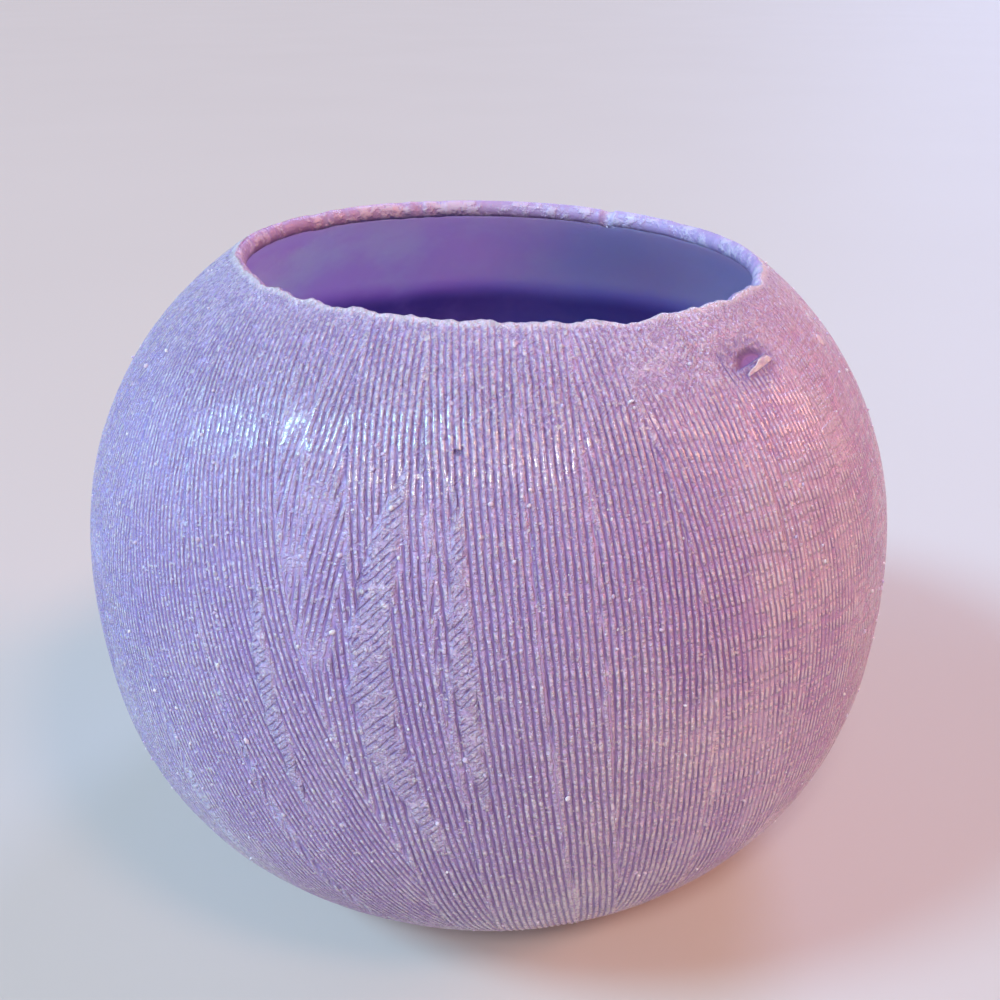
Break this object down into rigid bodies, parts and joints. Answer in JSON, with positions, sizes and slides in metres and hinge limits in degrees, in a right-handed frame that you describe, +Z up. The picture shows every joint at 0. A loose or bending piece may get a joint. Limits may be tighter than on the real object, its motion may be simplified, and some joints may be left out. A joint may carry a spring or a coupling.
{
  "type": "wax globe lantern",
  "caption": "Hollow combed wax globe, open at the top with a thin chipped lip, holding a flameless tealight on its floor.",
  "frame": {"origin": "centre of the flat foot that the globe stands on", "axes": "+Z up through the mouth, -Y towards the front, with the lip's chips and the flake on the shoulder to the front right"},
  "size_m": [0.18, 0.18, 0.1394],
  "materials": {
    "violet_wax": "combed translucent violet wax with a pale bloom on the ridges, smooth inside",
    "ivory_plastic": "moulded ivory, satin",
    "flame_plastic": "translucent warm white",
    "lamp_resin": "tinted clear resin",
    "tinned_wire": "tinned wire",
    "door_plastic": "moulded ivory, satin",
    "cell_steel": "nickel-plated, fine brushed",
    "spring_steel": "plated spring strip",
    "switch_plastic": "moulded black, satin"
  },
  "bodies": {
    "globe": {"wax_globe": "violet_wax"},
    "tealight": {"tealight_case": "ivory_plastic", "flame_tip": "flame_plastic", "led_spacer": "ivory_plastic", "led_lamp": "lamp_resin", "led_anode_lead": "tinned_wire", "led_cathode_lead": "tinned_wire", "base_plate": "ivory_plastic", "positive_contact": "spring_steel", "negative_contact": "spring_steel"},
    "battery_door": {"battery_door": "door_plastic", "coin_cell": "cell_steel"},
    "switch": {"switch_knob": "switch_plastic", "switch_contact": "spring_steel"}
  },
  "joints": [
    {"name": "tealight_lift", "type": "slide", "parent": "globe", "child": "tealight", "axis": [0, 0, 1], "range_m": [0, 0.2]},
    {"name": "battery_door_turn", "type": "hinge", "parent": "tealight", "child": "battery_door", "pos_m": [0, 0, 0.008], "axis": [0, 0, 1], "range_deg": [0, 35]},
    {"name": "switch_slide", "type": "slide", "parent": "tealight", "child": "switch", "axis": [0, 1, 0], "range_m": [0, 0.002]}
  ]
}
